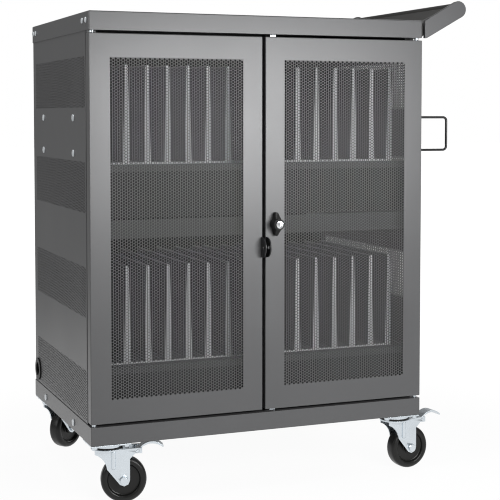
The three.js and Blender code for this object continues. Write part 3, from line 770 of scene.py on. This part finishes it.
# Side panels: channels with four perforated bands, and a hole for the grommet in the left one
vent_model = perforated(VENT_COLUMNS, VENT_ROWS, VENT_HOLE_SIDES, VENT_HOLE_RADIUS)
vent_front = corner.y + VENT_START
vent_back = vent_front + VENT_COLUMNS * COLUMN_PITCH
panels = (("left", panel_low, panel_high, LEFT), ("right", right_panel_low, right_panel_high, RIGHT))
for side, low, high, out in panels:
    on_left = side == "left"
    panel = folded_box(low + BACK * PANEL_SETBACK, high, -out, FOLD)
    start_edit(panel, "FACE")
    pick_faces(panel, lambda face: abs(face.normal.z) > LOOKS_ALONG)
    bpy.ops.mesh.delete(type="FACE")
    end_edit()
    for number, bottom in enumerate(VENT_BOTTOMS, start=1):
        vent_low = Vector((low.x, vent_front, corner.z + bottom))
        vent_high = Vector((high.x, vent_back, vent_low.z + VENT_ROWS * HOLE_PITCH))
        open_window(panel, out, vent_low, vent_high)
        if on_left:
            placing = stood((low.x, vent_back, vent_low.z), FRONT)
        else:
            placing = stood((high.x, vent_front, vent_low.z), BACK)
        vent = copy_of(vent_model, placing)
        if on_left and number == 1:
            cut(vent, grommet_bore())
        settle(vent, f"{side}_vent_{number}", "graphite_coat", "cabinet")
    thicken(panel)
    if on_left:
        cut(panel, grommet_bore())
    # The right panel's coat paints shade on its inner faces
    finish = None if on_left else "right_shaded_coat"
    node = f"{side}_side_panel"
    settle(panel, f"{node}_look", "graphite_coat", "cabinet", node, finish=finish)
discard(vent_model)

# Doors: folded pans with a perforated field in the face, made in two halves
half_columns = DOOR_COLUMNS // 2
field_model = perforated(half_columns, DOOR_ROWS, DOOR_HOLE_SIDES, DOOR_HOLE_RADIUS)
field_size = Vector((DOOR_COLUMNS * COLUMN_PITCH, 0, DOOR_ROWS * HOLE_PITCH))
for side in ("left", "right"):
    door = f"{side}_door"
    low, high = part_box(door)
    if side == "left":
        field_left = low.x + DOOR_FIELD_INSET
    else:
        field_left = high.x - DOOR_FIELD_INSET - field_size.x
    field_low = Vector((field_left, low.y, corner.z + DOOR_FIELD_BOTTOM))
    pan = folded_box(low, high, BACK, FOLD, DOOR_LIP)
    open_window(pan, FRONT, field_low, field_low + field_size)
    thicken(pan)
    settle(pan, f"{door}_look", "graphite_coat", door, door)
    for half in range(2):
        start = field_low + RIGHT * half * half_columns * COLUMN_PITCH
        field = copy_of(field_model, stood(start, RIGHT))
        # The fields take their own copy of the coat, with painted light
        settle(field, f"{door}_field_{half + 1}", "graphite_coat", door, finish="field_coat")
discard(field_model)

# Back panel and sheets inside the cabinet, with a narrow gap in the upper fascia above the tray's skirt
softened("back_panel", "graphite_coat", "cabinet", finish="back_shaded_coat")
# The tray, fascias and shelves take darker copies of the graphite coat: painted shade inside the cabinet
softened("middle_tray", "graphite_coat", "cabinet", finish="ledge_shaded_coat")
softened("lower_fascia", "graphite_coat", "cabinet", finish="inner_shaded_coat")
fascia = softened("upper_fascia", "graphite_coat", "cabinet", finish="inner_shaded_coat")
low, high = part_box("upper_fascia")
skirt_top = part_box("middle_tray")[1].z
gap_low = (low.x - SHEET, low.y - SHEET, skirt_top)
gap_high = (high.x + SHEET, low.y + 2 * SHEET, skirt_top + FASCIA_GAP)
cut(fascia, box(gap_low, gap_high))


# Cutter for one socket: two blades and an earth pin, about the middle of its face
def socket_cutter():
    pins = []
    for way in (LEFT, RIGHT):
        blade = way * BLADE_SPREAD
        pins.append(box(blade - BLADE_HALF, blade + BLADE_HALF))
    earth = BACK * EARTH_BACK
    depth = UP * BLADE_HALF.z
    pins.append(rod(EARTH_RADIUS, earth - depth, earth + depth))
    return join(pins)


# Racks, shelves, hinge pins, power strips and lock bars, the same on both levels
socket_model = socket_cutter()
for level in ("lower", "upper"):
    for side in ("left", "right"):
        softened(f"{level}_{side}_rack", "pale_plastic", "cabinet", ROUND_EDGE)
        softened(f"{level}_{side}_hinge_pin", "zinc", "cabinet")
    softened(f"{level}_shelf", "graphite_coat", "cabinet", finish="ledge_shaded_coat")
    strip = softened(f"{level}_power_strip", "black_plastic", "cabinet", STRIP_EDGE)
    low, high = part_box(f"{level}_power_strip")
    first = Vector((low.x + SOCKET_START, (low.y + high.y) / 2, high.z))
    places = [first + RIGHT * number * SOCKET_PITCH for number in range(SOCKETS)]
    cut(strip, join([copy_of(socket_model, moved(place)) for place in places]))
    softened(f"{level}_strip_switch", "black_plastic", f"{level}_switch", TRIM_EDGE)
    softened(f"{level}_lock_bar", "zinc", f"{level}_lock_bar")
discard(socket_model)

# Handle and grommet
for node in ("handle_ramp", "handle_grip"):
    softened(node, "dark_coat", "cabinet")
softened("cable_grommet", "black_plastic", "cabinet", ROUND_EDGE, ROUND_STEPS)


def highest(points):
    return max(points, key=lambda point: point.z)


# Slope of the handle, from the foot of the ramp at the lid to its top at the grip
ramp_points = [vertex.co.copy() for vertex in bpy.data.objects["handle_ramp_look"].data.vertices]
ramp_left = min(point.x for point in ramp_points)
ramp_top = highest(ramp_points)
ramp_foot = highest(point for point in ramp_points if point.x < ramp_left + SHEET)
slope = (ramp_top - ramp_foot).normalized()
slope.y = 0

# Arms with a groove in the upper edge, and the flange folded in beside each:
# widest at the lid, down to nothing at the grip
for place, inward in (("front", BACK), ("rear", FRONT)):
    low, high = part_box(f"handle_{place}_arm")
    arm = softened(f"handle_{place}_arm", "graphite_coat", "cabinet", ROUND_EDGE, ROUND_STEPS)
    arm_points = [vertex.co for vertex in arm.data.vertices]
    arm_edge = highest(point for point in arm_points if point.x < low.x + 2 * SHEET)
    groove_start = Vector((arm_edge.x, (low.y + high.y) / 2, arm_edge.z)) - slope * GROOVE_RADIUS
    cut(arm, rod(GROOVE_RADIUS, groove_start, groove_start + slope * GROOVE_LENGTH, GROOVE_SIDES))
    start_y = high.y + FLANGE_GAP if inward.y > 0 else low.y - FLANGE_GAP
    outline = [
        (ramp_foot.x, start_y, ramp_foot.z),
        (ramp_top.x, start_y, ramp_top.z),
        (ramp_foot.x, start_y + inward.y * FLANGE_WIDTH, ramp_foot.z),
    ]
    flange = chain(outline, closed=True)
    bpy.ops.mesh.edge_face_add()
    lift = Vector((-slope.z, 0, slope.x)) * FLANGE_HEIGHT
    bpy.ops.mesh.extrude_region_move(TRANSFORM_OT_translate={"value": lift})
    bpy.ops.mesh.select_all(action="SELECT")
    bpy.ops.mesh.normals_make_consistent(inside=False)
    end_edit()
    bevel(flange, SOFT_EDGE, 1)
    settle(flange, f"handle_{place}_flange", "graphite_coat", "cabinet")

# Lock: knob with tapered wings, cam, key plug with its keyway, and hasp tabs
knob = softened("lock_knob", "black_plastic", "lock_knob", KNOB_EDGE, ROUND_STEPS)
knob_low, knob_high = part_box("lock_knob")
knob_middle = (knob_low + knob_high) / 2
wing_centre = (knob_middle.x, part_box("right_door")[0].y, knob_middle.z)
start_edit(knob, "VERT")
pick_points(knob, lambda point: abs(point.co.z - knob_middle.z) > WING_ROOT)
bpy.ops.transform.resize(value=WING_TAPER, center_override=wing_centre)
end_edit()
softened("lock_cam", "zinc", "lock_knob")
plug = softened("key_plug", "chrome", "key_plug", TRIM_EDGE, ROUND_STEPS)
plug_low, plug_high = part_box("key_plug")
plug_middle = (plug_low + plug_high) / 2
keyway_half = Vector((KEYWAY_WIDTH / 2, KEYWAY_DEPTH, KEYWAY_HEIGHT / 2))
keyway_centre = Vector((plug_middle.x, plug_low.y, plug_middle.z))
cut(plug, box(keyway_centre - keyway_half, keyway_centre + keyway_half))
for side in ("left", "right"):
    softened(f"{side}_hasp", "black_coat", f"{side}_door", PRESSED_EDGE)

# Cord bails: bent wire, with a bolt head at each foot
bolt_model = bolt_head()
for place in ("front", "rear"):
    node = f"{place}_cord_bail"
    low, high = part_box(node)
    middle_y = (low.y + high.y) / 2
    legs = (low.z + BAIL_WIRE_RADIUS, high.z - BAIL_WIRE_RADIUS)
    tip = high.x - BAIL_WIRE_RADIUS
    route = [(low.x, legs[0]), (tip, legs[0]), (tip, legs[1]), (low.x, legs[1])]
    wire = bent_wire([(x, middle_y, z) for x, z in route], BAIL_CORNER, BAIL_WIRE_RADIUS)
    feet = [copy_of(bolt_model, laid((low.x, middle_y, z), RIGHT)) for z in legs]
    settle(join([wire, *feet]), f"{node}_look", "black_coat", "cabinet", node)


# Grease seal between plate and fork, standing on the origin
def caster_seal():
    item = rod(SEAL_RADIUS, (0, 0, 0), UP * SEAL_HEIGHT, SEAL_SIDES)
    bevel(item, SOFT_EDGE)
    smooth(item)
    return item


# Pressed rib of a fork's cheek, standing on the origin
def fork_rib():
    item = rod(RIB_RADIUS, (0, 0, 0), UP * (RIB_BOTTOM - RIB_TOP))
    bevel(item, RIB_ROUNDING, RIB_STEPS, RIM_ANGLE)
    smooth(item)
    return item


# Cutter for the waist in a fork's front edge, between its nose and the eye at the axle
def waist_cutter(nose, eye, trail, side):
    edge = (eye - nose).normalized()
    ahead = edge.cross(side)
    if ahead.dot(trail) > 0:
        ahead = -ahead
    centre = nose + edge * WAIST_ALONG + ahead * (WAIST_RADIUS - WAIST_DEPTH)
    return rod(WAIST_RADIUS, centre - side * FORK_NOSE, centre + side * FORK_NOSE, WAIST_SIDES)


# Casters: plate with bolts and seal, fork with waist and ribs, axle, wheel and brake pedal
joints = {joint["name"]: joint for joint in frame["joints"]}
wheel_model = turned(WHEEL_PROFILE, WHEEL_STEPS)
seal_model = caster_seal()
rib_model = fork_rib()
for place in WHEELS:
    softened(f"{place}_caster_plate", "zinc", "cabinet")
    fork = softened(f"{place}_fork", "zinc", f"{place}_fork", PRESSED_EDGE)
    softened(f"{place}_axle", "zinc", f"{place}_fork", PRESSED_EDGE)
    axle = Vector(joints[f"{place}_roll"]["pos_m"])
    side = Vector(joints[f"{place}_roll"]["axis"])
    swivel = Vector(joints[f"{place}_swivel"]["pos_m"])
    trail = Vector((axle.x - swivel.x, axle.y - swivel.y, 0)).normalized()
    fork_top = Vector((swivel.x, swivel.y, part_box(f"{place}_fork")[1].z))
    nose = fork_top + DOWN * FORK_CHEEK - trail * FORK_NOSE
    eye = axle - (trail + UP) * FORK_EYE
    cut(fork, waist_cutter(nose, eye, trail, side))

    wheel = copy_of(wheel_model, laid(axle, side))
    settle(wheel, f"{place}_wheel_look", "wheel_rubber", f"{place}_wheel", f"{place}_wheel")

    plate_low, plate_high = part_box(f"{place}_caster_plate")
    plate_middle = (plate_low + plate_high) / 2
    bolts = []
    for x in (-BOLT_SPREAD_X, BOLT_SPREAD_X):
        for y in (-BOLT_SPREAD_Y, BOLT_SPREAD_Y):
            under = Vector((plate_middle.x + x, plate_middle.y + y, plate_high.z - PLATE_THICKNESS))
            bolts.append(copy_of(bolt_model, laid(under, DOWN)))
    settle(join(bolts), f"{place}_caster_bolts", "zinc", "cabinet")

    seal = copy_of(seal_model, moved(fork_top + UP * SEAL_GAP))
    settle(seal, f"{place}_caster_seal", "black_plastic", "cabinet")

    ribs = []
    for way in (-1, 1):
        foot = fork_top + trail * RIB_TRAIL + side * way * RIB_OUT + DOWN * RIB_BOTTOM
        ribs.append(copy_of(rib_model, moved(foot)))
    settle(join(ribs), f"{place}_fork_ribs", "zinc", f"{place}_fork")
for place in BRAKED:
    softened(f"{place}_brake_pedal", "zinc", f"{place}_brake", PEDAL_EDGE)
discard(bolt_model, wheel_model, seal_model, rib_model)


# Heads joined into one piece, all looking out the same way
def heads(model, places, out):
    return join([copy_of(model, laid(place, out)) for place in places])


# Screws and rivets, in a lighter, barely metallic copy of the zinc: a painted glint
screw_model = screw_head(SCREW_RADIUS)
rivet_model = screw_head(RIVET_RADIUS)
side_places = [(panel_low.x, corner.y + y, corner.z + z) for y in SIDE_SCREWS_Y for z in SIDE_SCREWS_Z]
side_heads = heads(screw_model, side_places, LEFT)
settle(side_heads, "left_side_screws", "zinc", "cabinet", finish="glint_zinc")
for side, face_x, out in (("left", lid_low.x, LEFT), ("right", lid_high.x, RIGHT)):
    places = [(face_x, corner.y + y, corner.z + SKIRT_SCREW_Z) for y in SKIRT_SCREWS_Y]
    skirt_heads = heads(screw_model, places, out)
    if side == "left":
        places = [(face_x, corner.y + y, corner.z + LID_RIVET_Z) for y in LID_RIVETS_Y]
        skirt_heads = join([skirt_heads, heads(rivet_model, places, out)])
    settle(skirt_heads, f"{side}_skirt_screws", "zinc", "cabinet", finish="glint_zinc")
back_low, back_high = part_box("back_panel")
back_places = []
for number in range(BACK_SCREW_COUNT):
    share = (number + 0.5) / BACK_SCREW_COUNT
    height = base_high.z + share * (lid_low.z - base_high.z)
    for x in (back_low.x + BACK_SCREW_INSET, back_high.x - BACK_SCREW_INSET):
        back_places.append((x, back_high.y, height))
back_heads = heads(rivet_model, back_places, BACK)
settle(back_heads, "back_screws", "zinc", "cabinet", finish="glint_zinc")
discard(screw_model, rivet_model)

# Floor: white to the camera with a soft shadow, and bright near the cart in what mirrors it
bpy.ops.mesh.primitive_plane_add(size=FLOOR_SIZE)
floor = bpy.context.object
floor.name = "floor"
floor_finish = bpy.data.materials.new("floor")
start = new_tree(floor_finish)
seen = start.node("LightPath", "Is Camera Ray")
mirrored = start.node("LightPath", "Is Glossy Ray")
place = start.node("TexCoord", "Object")
shadow = place.distance((0, 0, 0)).ranged(*SHADOW_FADE, SHADOW_SHARE, 0)
bright = place.distance(MIRRORED_CENTRE).ranged(*MIRRORED_FADE, 1, SKY_GLOSSY)
glow_share = seen.larger(mirrored * bright) - shadow * seen
glow = start.node("Emission", 0, {"Color": WHITE, "Strength": FLOOR_GLOW})
matt = start.node("BsdfDiffuse", 0, {"Color": FLOOR_GREY})
mixed = start.node("MixShader", 0, {0: glow_share, 1: matt, 2: glow})
start.node("OutputMaterial", None, {"Surface": mixed})
floor.data.materials.append(floor_finish)

# Backdrop: white to the camera, dim to everything else
world = bpy.data.worlds.new("studio")
bpy.context.scene.world = world
start = new_tree(world)
seen = start.node("LightPath", "Is Camera Ray")
mirrored = start.node("LightPath", "Is Glossy Ray")
strength = SKY_DIFFUSE + seen * (1 - SKY_DIFFUSE) + mirrored * (SKY_GLOSSY - SKY_DIFFUSE)
sky = start.node("Background", 0, {"Color": WHITE, "Strength": strength})
start.node("OutputWorld", None, {"Surface": sky})


def area_light(name, place, target, size, power):
    light = bpy.data.lights.new(name, "AREA")
    light.shape = "RECTANGLE"
    light.size, light.size_y = size
    light.energy = power
    item = bpy.data.objects.new(name, light)
    item.location = place
    item.rotation_euler = (Vector(target) - Vector(place)).to_track_quat("-Z", "Y").to_euler()
    bpy.context.scene.collection.objects.link(item)


for name, values in LAMPS.items():
    area_light(name, *values)

# Camera
camera_data = bpy.data.cameras.new("camera")
camera = bpy.data.objects.new("camera", camera_data)
camera_data.sensor_width = SENSOR
camera_data.lens = SENSOR * FOCAL_PIXELS / PHOTO_WIDTH
camera_data.shift_x = OPTICAL_SHIFT / PHOTO_WIDTH
camera_data.shift_y = (OPTICAL_ROW - PHOTO_WIDTH / 2) / PHOTO_WIDTH
camera.location = corner + CAMERA_FROM_CORNER
camera.rotation_euler = (math.radians(90 - CAMERA_PITCH), 0, math.radians(-CAMERA_YAW))
bpy.context.scene.collection.objects.link(camera)
bpy.context.scene.camera = camera
bpy.context.scene.view_settings.view_transform = "Standard"
bpy.context.scene.cycles.filter_width = PIXEL_FILTER
